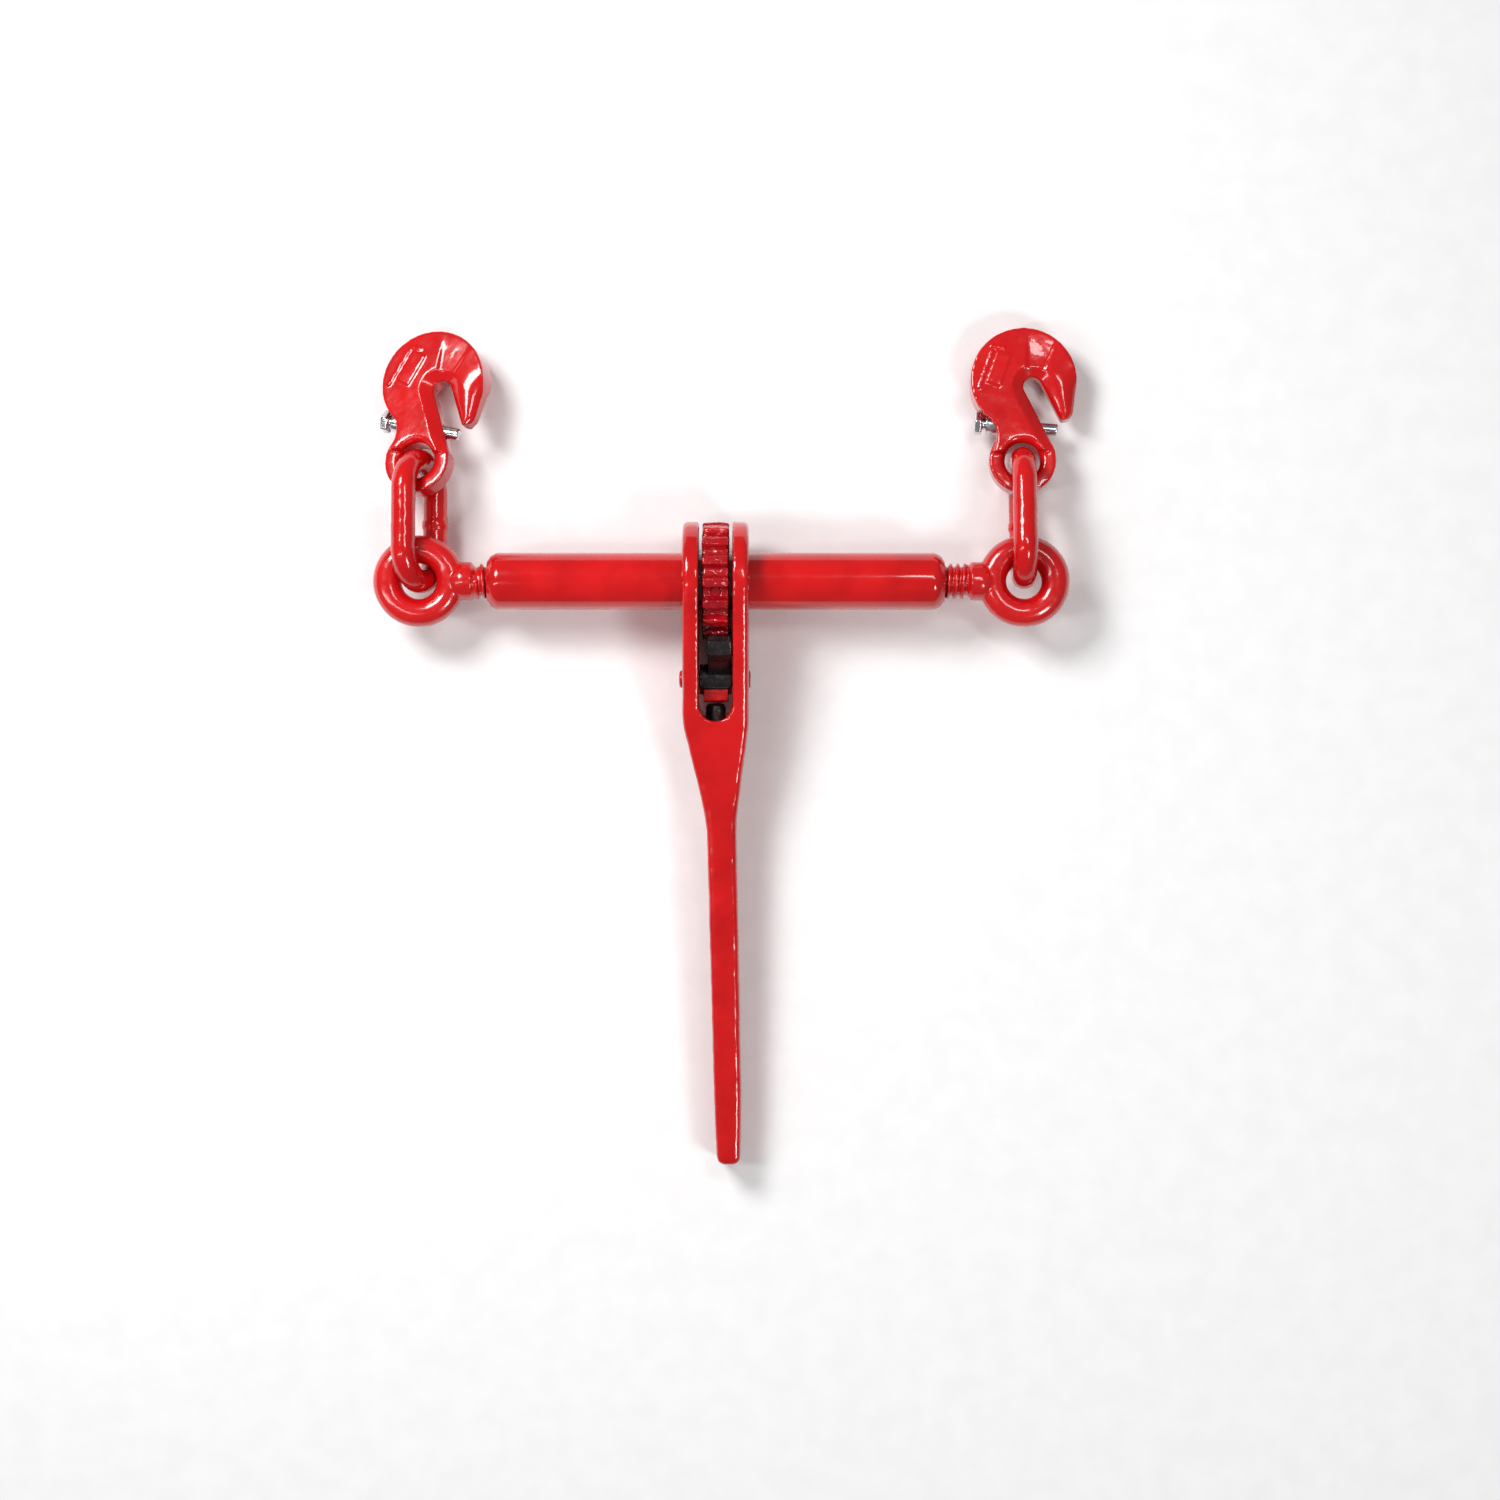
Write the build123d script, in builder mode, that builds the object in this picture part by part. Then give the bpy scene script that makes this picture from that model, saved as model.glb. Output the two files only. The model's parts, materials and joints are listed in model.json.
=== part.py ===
from build123d import *

import os
from math import acos, asin, atan2, cos, hypot, radians, sin, tan

# Ratchet load binder: a threaded barrel, its forged ratchet handle, two screw eyes, two links, two grab hooks.
#
# The origin is the centre of the barrel. +X runs along the barrel, +Y points towards the hooks, and +Z up.
# The binder lies on a floor: its ears, the handle's end, the links and the hooks reach down to it.

# Driving dimensions, in millimetres and degrees.
BARREL_LENGTH = 256.0
BARREL_RADIUS = 16.0
BARREL_BORE = 11.4  # relief bore between the two threaded ends
MOUTH_RADIUS = 11.8  # where the swaged end meets its flat mouth
SWAGE_LENGTH = 4.3
THREAD_PITCH = 4.0
THREAD_CREST = 10.0
THREAD_ROOT = 7.75
THREAD_LENGTH = 128.0
THREAD_ZONE = 30.0  # the threaded stretch at each end of the barrel
THREAD_CLEARANCE = 0.3

GEAR_TEETH = 16
GEAR_RADIUS = 33.0
GEAR_ROOT = 28.0
GEAR_WIDTH = 15.0
VALLEY_TOP = radians(14.0)  # how wide a valley is at the gear's rim
VALLEY_ROOT = radians(9.5)
LOCK_PIN_RADIUS = 2.5
LOCK_PIN_FOOT = 12.3  # from the barrel's axis, inside its wall

EAR_RADIUS = 33.5
FORK_HALF_WIDTH = 18.6
SLOT_HALF_WIDTH = 9.25
SLOT_DEPTH = 77.6  # from the barrel's axis to the bottom of the slot
HANDLE_LENGTH = 328.0
SHANK_HALF_DEPTH = 13.0
SHANK_TOP = (-112.0, 14.5)  # where the ears' taper meets the shank, along the fork and in its depth
TAPER_TOP = 79.0  # the fork narrows from here
TAPER_END = 134.0  # to here
FORGED_EDGE = 3.2
RUNNING_FIT = 0.06

PIVOT_REACH = 54.9  # from the barrel's axis to the pawl's pivot
PIVOT_RADIUS = 4.0
PAWL_HUB_HALF = 9.0  # the hub nearly fills the slot, so it centres the pawl
PAWL_REST = 3.5  # how far the pawl is swung from its symmetric position
PAWL_ENGAGE = 13.0  # the swing from the symmetric position that seats a horn
HORN = [(25.2, 16.1), (30.3, 14.3), (31.4, 16.2), (29.1, 21.5), (22.0, 21.8)]  # seated, from the pivot
PLUNGER_RADIUS = 5.6
PLUNGER_TIP = 68.45
PLUNGER_COIL_RADIUS = 3.8
PLUNGER_LENGTH = 17.0
PLUNGER_HOLE = 100.0  # from the barrel's axis to the bottom of the plunger's hole
SPRING_WIRE = 0.4

EYE_MID_RADIUS = 17.75
EYE_SECTION = 8.0
EYE_LEFT_X = -166.2
EYE_RIGHT_X = 172.5
NECK_RADIUS = 10.85
NECK_REACH = 30.5  # from the eye's centre to the first thread
STOP_PIN_RADIUS = 2.0

LINK_WIRE = 6.9
LINK_HALF_WIDTH = 17.8  # to the middle of the wire
LINK_HALF_STRAIGHT = 16.0
BOW_EASE = 0.6  # the hook's eye sits this far inside the middle of the bow's bar
RIGHT_LINK_GAP = 0.35  # between the link's bow and the eye it lies in
LEFT_LINK_GAP = 2.9  # the leaning link lies deeper in its eye
RIGHT_LINK_DROP = 14.7  # how far the link dips towards the floor
LEFT_LINK_DROP = 5.0
LEFT_LINK_LEAN = 25.5

HOOK_HALF_DEPTH = 9.0
HOOK_EYE_OUTER = 19.0
HOOK_EYE_HOLE = 10.0
HOOK_EYE_HALF_DEPTH = 6.0
HEAD_RADIUS = 30.0
HEAD_CENTRE = (0.8, 45.6)
THROAT_WIDTH = 10.5
THROAT_END = (6.0, 42.5)  # centre of the throat's round end
THROAT_SLANT = 26.6  # from the hook's long axis
PIN_HEIGHT = 20.0  # of the safety pin above the hook's eye
PIN_SLANT = 4.8
PIN_RADIUS = 3.35
PIN_HEAD_RADIUS = 6.7  # across the corners of its six sides
PIN_POCKET = 5.4
POCKET_FLOOR = 2.0  # where the spring's pocket ends, along the pin from the hook's long axis
BUSH_FACE = -13.0
SPOT_FACE = -18.0  # the neck is faced off here, so the pin's head clears it
BUSH_FLANGE = -20.5

os.makedirs("parts", exist_ok=True)


def write(builder, node):
    """Label a finished piece and write it as its own STEP file."""
    builder.part.label = node
    export_step(builder.part, f"parts/{node}.step")


# Planes. The fork is dipped about the barrel until the end of its shank lies on the floor under the ears.
dip = asin((EAR_RADIUS - SHANK_HALF_DEPTH) / HANDLE_LENGTH)
fork = Plane(origin=(0, 0, 0), x_dir=(1, 0, 0), z_dir=(0, -sin(dip), cos(dip)))
cheek = Plane(origin=(0, 0, 0), x_dir=fork.y_dir, z_dir=(1, 0, 0))  # local x runs up the fork, local y is its depth
pivot = Plane(cheek.location * Location((-PIVOT_REACH, 0, 0)))
turned = cheek.x_dir * cos(radians(PAWL_REST)) + cheek.y_dir * sin(radians(PAWL_REST))
pawl_plane = Plane(origin=pivot.origin, x_dir=turned, z_dir=(1, 0, 0))


# ---------------------------------------------------------------- handle
def handle_plan():
    """The fork and shank seen from above: parallel ears, a long taper, and a shank with a slight set."""
    top = EAR_RADIUS + 1
    left = [(-FORK_HALF_WIDTH, top), (-FORK_HALF_WIDTH, -TAPER_TOP), (-5.3, -TAPER_END)]
    left += [(-1.2, -290), (0.4, -HANDLE_LENGTH)]
    right = [(13.9, -HANDLE_LENGTH), (14.4, -290), (11.6, -TAPER_END)]
    right += [(FORK_HALF_WIDTH, -TAPER_TOP), (FORK_HALF_WIDTH, top)]
    return left + right


with BuildPart() as handle:
    with BuildSketch(fork) as plan:
        with BuildLine():
            Polyline(handle_plan(), close=True)
        make_face()
        fillet(plan.vertices().filter_by_position(Axis.Y, -TAPER_END - 1, -TAPER_END + 1), 110)
        fillet(plan.vertices().filter_by_position(Axis.Y, -TAPER_TOP - 1, -TAPER_TOP + 1), 45)
        fillet(plan.vertices().group_by(Axis.Y)[0], 4.5)
    extrude(amount=EAR_RADIUS + 2, both=True)
    reach = hypot(*SHANK_TOP)
    swing = acos(EAR_RADIUS / reach) + atan2(SHANK_TOP[1], -SHANK_TOP[0])
    tangent = (-EAR_RADIUS * cos(swing), EAR_RADIUS * sin(swing))
    with BuildSketch(cheek) as side:
        with BuildLine():
            ThreePointArc((tangent[0], -tangent[1]), (EAR_RADIUS, 0), tangent)
            lower = [(x, -y) for x, y in (tangent, SHANK_TOP, (-HANDLE_LENGTH, SHANK_HALF_DEPTH))]
            upper = [(-HANDLE_LENGTH, SHANK_HALF_DEPTH), SHANK_TOP, tangent]
            Polyline(lower + upper)
        make_face()
    extrude(amount=FORK_HALF_WIDTH + 2, both=True, mode=Mode.INTERSECT)
    fillet(handle.edges().filter_by_position(Axis.Y, -320, EAR_RADIUS), FORGED_EDGE)
    with BuildSketch(fork) as slot:
        with Locations((0, 0)):
            Rectangle(2 * SLOT_HALF_WIDTH, 2 * (SLOT_DEPTH - SLOT_HALF_WIDTH))
        with Locations((0, -SLOT_DEPTH + SLOT_HALF_WIDTH)):
            Circle(SLOT_HALF_WIDTH)
    extrude(amount=EAR_RADIUS + 2, both=True, mode=Mode.SUBTRACT)
    with BuildSketch(cheek) as barrel_hole:
        Circle(BARREL_RADIUS + RUNNING_FIT)
    extrude(amount=FORK_HALF_WIDTH + 2, both=True, mode=Mode.SUBTRACT)
    with BuildSketch(pivot) as pivot_hole:
        Circle(PIVOT_RADIUS)
    extrude(amount=FORK_HALF_WIDTH + 2, both=True, mode=Mode.SUBTRACT)
    mouth_centre = fork.from_local_coords((0, -SLOT_DEPTH + 3, 0))
    plunger_mouth = Plane(origin=mouth_centre, x_dir=(1, 0, 0), z_dir=-fork.y_dir)
    with BuildSketch(plunger_mouth) as plunger_hole:
        Circle(PLUNGER_RADIUS + RUNNING_FIT)
    extrude(amount=PLUNGER_HOLE - SLOT_DEPTH + 3, mode=Mode.SUBTRACT)
write(handle, "handle")

# ---------------------------------------------------------------- pawl, its pin, its plunger and spring

def swung(point, angle):
    """A point turned about the pivot by an angle in degrees."""
    turn = radians(angle)
    return (point[0] * cos(turn) - point[1] * sin(turn), point[0] * sin(turn) + point[1] * cos(turn))


with BuildPart() as pawl:
    upper_horn = [swung(p, PAWL_ENGAGE) for p in HORN]
    lower_horn = [(x, -y) for x, y in reversed(upper_horn)]
    with BuildSketch(pawl_plane.offset(-4.4)) as horns:
        with BuildLine():
            Polyline([(15.0, 0), (16.5, 8.0)] + upper_horn + [(4.0, 9.0), (4.0, -9.0)]
                     + lower_horn + [(16.5, -8.0)], close=True)
        make_face()
        fillet(horns.vertices().filter_by_position(Axis.X, 14, 30), 0.6)
    extrude(amount=13.2)
    with BuildSketch(pawl_plane.offset(-PAWL_HUB_HALF)) as hub:
        Circle(8.6)
    extrude(amount=2 * PAWL_HUB_HALF)
    with BuildSketch(pawl_plane.offset(-6.8)) as tail:
        with BuildLine():
            Polyline((-4.4, -10), (-11.3, -10), (-12.9, -3), (-12.9, 3), (-11.3, 10), (-4.4, 10), close=True)
        make_face()
        fillet(tail.vertices().group_by(Axis.Y)[0], 1.5)
        fillet(tail.vertices().group_by(Axis.Y)[-1], 1.5)
    extrude(amount=13.8)
    with BuildSketch(pawl_plane) as pawl_bore:
        Circle(PIVOT_RADIUS + RUNNING_FIT)
    extrude(amount=20, both=True, mode=Mode.SUBTRACT)
write(pawl, "pawl")

with BuildPart() as pivot_pin:
    with BuildSketch(pivot.offset(-FORK_HALF_WIDTH)) as shank:
        Circle(PIVOT_RADIUS)
    extrude(amount=2 * FORK_HALF_WIDTH)
    with BuildSketch(pivot.offset(-FORK_HALF_WIDTH)) as left_head:
        Circle(PIVOT_RADIUS + 1)
    extrude(amount=-2.0)
    with BuildSketch(pivot.offset(FORK_HALF_WIDTH)) as right_head:
        Circle(PIVOT_RADIUS + 1)
    extrude(amount=0.9)
    fillet(pivot_pin.edges().sort_by(Axis.X)[0], 1.6)
    fillet(pivot_pin.edges().sort_by(Axis.X)[-1], 0.7)
write(pivot_pin, "pawl_pivot_pin")

tip_plane = Plane(origin=fork.from_local_coords((0, -PLUNGER_TIP, 0)), x_dir=(1, 0, 0), z_dir=-fork.y_dir)
with BuildPart() as plunger:
    with BuildSketch(tip_plane) as plunger_body:
        Circle(PLUNGER_RADIUS)
    extrude(amount=PLUNGER_LENGTH)
    fillet(plunger.edges().sort_by(Axis.Y)[-1], 2.6)
    with BuildSketch(tip_plane.offset(PLUNGER_LENGTH)) as spring_seat:
        Circle(PLUNGER_COIL_RADIUS - 2 * SPRING_WIRE)
    extrude(amount=3)
write(plunger, "plunger")

spring_base = tip_plane.offset(PLUNGER_HOLE - PLUNGER_TIP - 0.45)
with BuildPart() as plunger_spring:
    spring_room = PLUNGER_HOLE - PLUNGER_TIP - PLUNGER_LENGTH - 0.9
    turns = 7
    with BuildLine() as coil:
        Helix(pitch=spring_room / turns, height=spring_room, radius=PLUNGER_COIL_RADIUS,
              center=spring_base.origin, direction=fork.y_dir)
    with BuildSketch(Plane(origin=coil.line @ 0, z_dir=coil.line % 0)) as wire:
        Circle(SPRING_WIRE)
    sweep(path=coil.line, is_frenet=True)
write(plunger_spring, "plunger_spring")

# ---------------------------------------------------------------- barrel, ratchet gear and its lock pins
half = BARREL_LENGTH / 2
pitch_angle = 360 / GEAR_TEETH
lock_angles = (90 + pitch_angle / 2, 270 + pitch_angle / 2)


def lock_plane(angle):
    """A plane at the foot of a lock pin, facing out through a valley of the gear."""
    out = cheek.x_dir * cos(radians(angle)) + cheek.y_dir * sin(radians(angle))
    return Plane(origin=out * LOCK_PIN_FOOT, x_dir=(1, 0, 0), z_dir=out)


with BuildPart() as barrel:
    with BuildSketch(Plane.XY) as wall:
        with BuildLine():
            mouth = THREAD_CREST + THREAD_CLEARANCE
            outer = [(half, MOUTH_RADIUS), (half - SWAGE_LENGTH, BARREL_RADIUS)]
            inner = [(half - THREAD_ZONE, BARREL_BORE), (half - THREAD_ZONE + 1, mouth), (half, mouth)]
            right_wall = outer[::-1] + inner[::-1]
            left_wall = [(-x, r) for x, r in reversed(right_wall)]
            Polyline(left_wall + right_wall, close=True)
        make_face()
        swage = wall.vertices().filter_by(lambda v: v.Y > BARREL_RADIUS - 0.1)
        fillet(swage, 3)
        lips = wall.vertices().filter_by(lambda v: abs(v.Y - MOUTH_RADIUS) < 0.1)
        fillet(lips, 0.7)
    revolve(axis=Axis.X)
    for angle in lock_angles:
        with BuildSketch(lock_plane(angle).offset(-5)) as pin_hole:
            Circle(LOCK_PIN_RADIUS)
        extrude(amount=20, mode=Mode.SUBTRACT)
write(barrel, "barrel")

with BuildPart() as gear:
    with BuildSketch(cheek.offset(-GEAR_WIDTH / 2)) as gear_face:
        Circle(GEAR_RADIUS)
        Circle(BARREL_RADIUS, mode=Mode.SUBTRACT)
        top_half = (GEAR_RADIUS + 1) * tan(VALLEY_TOP / 2)
        root_half = GEAR_ROOT * tan(VALLEY_ROOT / 2)
        depth = GEAR_RADIUS + 1 - GEAR_ROOT
        with PolarLocations(GEAR_ROOT, GEAR_TEETH, start_angle=pitch_angle / 2):
            Polygon((0, -root_half), (depth, -top_half), (depth, top_half), (0, root_half),
                    align=None, mode=Mode.SUBTRACT)
    extrude(amount=GEAR_WIDTH)
    for angle in lock_angles:
        with BuildSketch(lock_plane(angle)) as pin_hole:
            Circle(LOCK_PIN_RADIUS)
        extrude(amount=20, mode=Mode.SUBTRACT)
write(gear, "ratchet_gear")

with BuildPart() as lock_pins:
    for angle in lock_angles:
        with BuildSketch(lock_plane(angle)) as pin_foot:
            Circle(LOCK_PIN_RADIUS)
        extrude(amount=GEAR_ROOT - LOCK_PIN_FOOT - 0.3)
write(lock_pins, "gear_lock_pins")


# ---------------------------------------------------------------- screw eyes and their stop pins
def screw_eye(node, eye_x, outward):
    """A round-section eye on a threaded shank. outward is +1 on the right and -1 on the left."""
    root = Plane(origin=(eye_x, 0, 0), x_dir=(0, 1, 0), z_dir=(-outward, 0, 0))  # faces the barrel
    profile = Plane(origin=(eye_x, 0, 0), x_dir=(-outward, 0, 0), z_dir=(0, 0, -outward))
    end = NECK_REACH + THREAD_LENGTH
    plain_end = 8.0
    with BuildPart() as screw:
        with BuildSketch(Plane(origin=(eye_x, 0, 0), x_dir=(1, 0, 0), z_dir=(0, -1, 0))) as section:
            with Locations((EYE_MID_RADIUS, 0)):
                Circle(EYE_SECTION)
        revolve(axis=Axis((eye_x, 0, 0), (0, 0, 1)))
        with BuildSketch(profile) as shank:
            with BuildLine():
                Spline((13.5, 5.0), (18.5, 8.6), (25.0, NECK_RADIUS), tangents=[(1, 1.2), (1, 0)])
                Polyline((25.0, NECK_RADIUS), (NECK_REACH - 1, NECK_RADIUS), (NECK_REACH + 1.5, THREAD_ROOT),
                         (end - 1, THREAD_ROOT), (end, THREAD_ROOT - 1), (end, 0), (13.5, 0), (13.5, 5.0))
            make_face()
        revolve(axis=Axis((eye_x, 0, 0), (1, 0, 0)))
        thread_start = root.offset(NECK_REACH + 1.5)
        with BuildLine() as helix:
            Helix(pitch=THREAD_PITCH, height=THREAD_LENGTH - plain_end - 3, radius=THREAD_ROOT,
                  center=thread_start.origin, direction=thread_start.z_dir, lefthand=outward > 0)
        radial = (helix.line @ 0 - thread_start.origin).normalized()
        with BuildSketch(Plane(origin=helix.line @ 0, x_dir=radial, z_dir=helix.line % 0)) as ridge:
            height = THREAD_CREST - THREAD_ROOT
            Polygon((-0.4, -1.45), (height, -0.75), (height, 0.75), (-0.4, 1.45), align=None)
        sweep(path=helix.line, is_frenet=True)
        with BuildSketch(Plane.XY.shift_origin((eye_x - outward * (end - 4), 0, 0))) as cross_hole:
            Circle(STOP_PIN_RADIUS)
        extrude(amount=20, both=True, mode=Mode.SUBTRACT)
    write(screw, node)
    return screw


def stop_pin(node, eye_x, outward):
    """A cross pin at the screw's inner end, which meets the threaded end of the barrel at full reach."""
    pin_x = eye_x - outward * (NECK_REACH + THREAD_LENGTH - 4)
    with BuildPart() as pin:
        with BuildSketch(Plane(origin=(pin_x, 0, 0))) as section:
            Circle(STOP_PIN_RADIUS)
        extrude(amount=BARREL_BORE - 0.7, both=True)
        chamfer(pin.edges(), 0.4)
    write(pin, node)


screw_eye("screw_eye_left", EYE_LEFT_X, -1)
screw_eye("screw_eye_right", EYE_RIGHT_X, 1)
stop_pin("stop_pin_left", EYE_LEFT_X, -1)
stop_pin("stop_pin_right", EYE_RIGHT_X, 1)


# ---------------------------------------------------------------- links
def link_frame(eye_x, gap, lean, dip_angle):
    """A link's plane, centred on its near bow's inner end: local x runs towards the hook, local y across the legs."""
    drop = radians(dip_angle)
    tilt = radians(lean)
    along = Vector(0, cos(drop), -sin(drop))
    upright = Vector(0, sin(drop), cos(drop))
    across = upright * cos(tilt) - Vector(1, 0, 0) * sin(tilt)
    seat = Vector(eye_x, EYE_MID_RADIUS, 0) - along * (EYE_SECTION + gap)
    return Plane(origin=seat, x_dir=along, z_dir=along.cross(across))


def link(node, frame):
    """An oval link of round bar, closed by a butt weld half way along one leg."""
    middle = LINK_HALF_WIDTH - LINK_WIRE + LINK_HALF_STRAIGHT
    near = middle - LINK_HALF_STRAIGHT
    far = middle + LINK_HALF_STRAIGHT
    w = LINK_HALF_WIDTH
    weld = Plane(origin=frame.from_local_coords((middle, -w, 0)), x_dir=frame.z_dir, z_dir=frame.x_dir)
    with BuildPart() as oval:
        with BuildLine(frame) as path:
            Line((near, w), (far, w))
            ThreePointArc((far, w), (far + w, 0), (far, -w))
            Line((far, -w), (near, -w))
            ThreePointArc((near, -w), (near - w, 0), (near, w))
        start = frame.from_local_coords((near, w, 0))
        with BuildSketch(Plane(origin=start, x_dir=frame.z_dir, z_dir=frame.x_dir)) as bar:
            Circle(LINK_WIRE)
        sweep(path=path.wire())
        with BuildSketch(weld.offset(-2)) as bead:
            Circle(LINK_WIRE + 0.7)
        extrude(amount=4)
    write(oval, node)


left_link = link_frame(EYE_LEFT_X, LEFT_LINK_GAP, LEFT_LINK_LEAN, LEFT_LINK_DROP)
right_link = link_frame(EYE_RIGHT_X, RIGHT_LINK_GAP, 0, RIGHT_LINK_DROP)
link("link_left", left_link)
link("link_right", right_link)

# ---------------------------------------------------------------- grab hooks and their safety pins
bow_reach = 2 * (LINK_HALF_WIDTH - LINK_WIRE + LINK_HALF_STRAIGHT) + LINK_WIRE


def hook_frame(link_plane, turn, lean, droop):
    """The hook's own plane, with its origin at the centre of its eye. It is turned, then leant, then drooped."""
    spot = link_plane.from_local_coords((bow_reach - BOW_EASE, 0, 0))
    return Plane(Location(spot, (-droop, -lean, -turn)))


def hook(node, frame):
    """A grab hook: a thick head with a slanted throat for one link, a neck, and a thinner eye."""
    slant = radians(THROAT_SLANT)
    along = (sin(slant), -cos(slant))
    beside = (cos(slant), sin(slant))
    side = THROAT_WIDTH / 2
    inner_top = (THROAT_END[0] + beside[0] * side, THROAT_END[1] + beside[1] * side)
    inner_low = (inner_top[0] + along[0] * 24.5, inner_top[1] + along[1] * 24.5)
    neck_top = (THROAT_END[0] - beside[0] * side, THROAT_END[1] - beside[1] * side)
    neck_low = (neck_top[0] + along[0] * 39, neck_top[1] + along[1] * 39)
    with BuildPart() as body:
        with BuildSketch(frame) as outline:
            with Locations(HEAD_CENTRE):
                Circle(HEAD_RADIUS)
            with BuildLine():
                Polyline(inner_top, inner_low, (inner_low[0] + 4.4, inner_low[1] + 0.6), (28.7, 27.0),
                         (30.8, 45.6), close=True)
            make_face()
            with BuildLine():
                Line(neck_top, neck_low)
                Line(neck_low, (-17.0, 4.0))
                ThreePointArc((-17.0, 4.0), (-14.6, 15.0), (-24.0, 28.5))
                Line((-24.0, 28.5), neck_top)
            make_face()
            with BuildLine():
                reach = 60
                far_inner = (inner_top[0] + along[0] * reach, inner_top[1] + along[1] * reach)
                far_neck = (neck_top[0] + along[0] * reach, neck_top[1] + along[1] * reach)
                Line(inner_top, far_inner)
                Line(far_inner, far_neck)
                Line(far_neck, neck_top)
                throat_top = (THROAT_END[0] - along[0] * side, THROAT_END[1] - along[1] * side)
                ThreePointArc(neck_top, throat_top, inner_top)
            make_face(mode=Mode.SUBTRACT)
        extrude(amount=HOOK_HALF_DEPTH, both=True)
        for face in (1, -1):
            shallow = frame.offset(face * 4.6)
            outer = frame.offset(face * (HOOK_HALF_DEPTH + 0.4))
            centre = (THROAT_END[0] + along[0] * 35, THROAT_END[1] + along[1] * 35)
            with BuildSketch(shallow) as narrow:
                with Locations(Location((*centre, 0), (0, 0, THROAT_SLANT + 90))):
                    SlotCenterToCenter(70, THROAT_WIDTH)
            with BuildSketch(outer) as wide:
                with Locations(Location((*centre, 0), (0, 0, THROAT_SLANT + 90))):
                    SlotCenterToCenter(70, THROAT_WIDTH + 14)
            loft(mode=Mode.SUBTRACT)
            with BuildSketch(frame.offset(face * (HOOK_HALF_DEPTH - 2.2))) as cradle:
                Polygon((6.8, 66.5), (9.6, 50), (15.0, 50), (22.0, 66.5), align=None)
            extrude(amount=face * 4, mode=Mode.SUBTRACT)
        with BuildSketch(frame.offset(-HOOK_EYE_HALF_DEPTH)) as eye:
            Circle(HOOK_EYE_OUTER)
        extrude(amount=2 * HOOK_EYE_HALF_DEPTH)
        with BuildSketch(frame.offset(-20)) as eye_hole:
            Circle(HOOK_EYE_HOLE)
        extrude(amount=40, mode=Mode.SUBTRACT)
        rims = body.edges().filter_by(GeomType.CIRCLE).filter_by(lambda e: abs(e.radius - HOOK_EYE_HOLE) < 0.01)
        chamfer(rims, 2.4)
        axis = pin_axis(frame)
        with BuildSketch(axis.offset(-30)) as pin_hole:
            Circle(PIN_RADIUS + RUNNING_FIT)
        extrude(amount=60, mode=Mode.SUBTRACT)
        with BuildSketch(axis.offset(-22)) as pocket:
            Circle(PIN_POCKET)
        extrude(amount=POCKET_FLOOR + 22, mode=Mode.SUBTRACT)
        with BuildSketch(axis.offset(SPOT_FACE)) as spot_face:
            Circle(PIN_HEAD_RADIUS + 0.8)
        extrude(amount=-30, mode=Mode.SUBTRACT)
    write(body, node)


def pin_axis(frame):
    """A plane across the safety pin, facing from its head towards its tip."""
    slant = radians(PIN_SLANT)
    towards = frame.x_dir * cos(slant) - frame.y_dir * sin(slant)
    return Plane(origin=frame.from_local_coords((0, PIN_HEIGHT, 0)), x_dir=frame.z_dir, z_dir=towards)


def safety_pin(side, frame):
    """The sprung pin across the throat, its bush in the neck, and the clip and spring in the pocket."""
    axis = pin_axis(frame)
    with BuildPart() as pin:
        with BuildSketch(axis.offset(-27.0)) as head:
            RegularPolygon(PIN_HEAD_RADIUS, 6)
        extrude(amount=4.5)
        chamfer(pin.edges().filter_by(lambda e: e.length > 5), 0.8)
        with BuildSketch(axis.offset(-23.0)) as shaft:
            Circle(PIN_RADIUS)
        extrude(amount=43.4)
        chamfer(pin.edges().sort_by(Axis.X)[-1], 0.8)
        with BuildSketch(axis.offset(-0.6)) as groove:
            Circle(PIN_RADIUS + 1)
            Circle(PIN_RADIUS - 0.6, mode=Mode.SUBTRACT)
        extrude(amount=1.2, mode=Mode.SUBTRACT)
    write(pin, f"safety_pin_{side}")
    with BuildPart() as clip:
        with BuildSketch(axis.offset(-0.6)) as ring:
            Circle(PIN_POCKET - 0.35)
            Circle(PIN_RADIUS - 0.6, mode=Mode.SUBTRACT)
        extrude(amount=1.2)
    write(clip, f"pin_clip_{side}")
    with BuildPart() as bush:
        with BuildSketch(axis.offset(BUSH_FLANGE)) as flange:
            Circle(PIN_POCKET)
            Circle(PIN_RADIUS + RUNNING_FIT, mode=Mode.SUBTRACT)
        extrude(amount=BUSH_FACE - BUSH_FLANGE)
    write(bush, f"pin_bush_{side}")
    room = -0.6 - BUSH_FACE - 2 * SPRING_WIRE - 0.1
    turns = 6
    with BuildPart() as spring:
        with BuildLine() as coil:
            Helix(pitch=room / turns, height=room, radius=4.3,
                  center=axis.offset(BUSH_FACE + SPRING_WIRE + 0.05).origin, direction=axis.z_dir)
        with BuildSketch(Plane(origin=coil.line @ 0, z_dir=coil.line % 0)) as section:
            Circle(SPRING_WIRE)
        sweep(path=coil.line, is_frenet=True)
    write(spring, f"pin_spring_{side}")


left_hook = hook_frame(left_link, 11.0, 16.0, 15.5)
right_hook = hook_frame(right_link, 0.0, 0.0, 8.5)
for name, frame in (("left", left_hook), ("right", right_hook)):
    hook(f"hook_{name}", frame)
    safety_pin(name, frame)
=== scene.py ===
import json
import math

import bmesh
import bpy
from mathutils import Matrix, Vector


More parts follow.
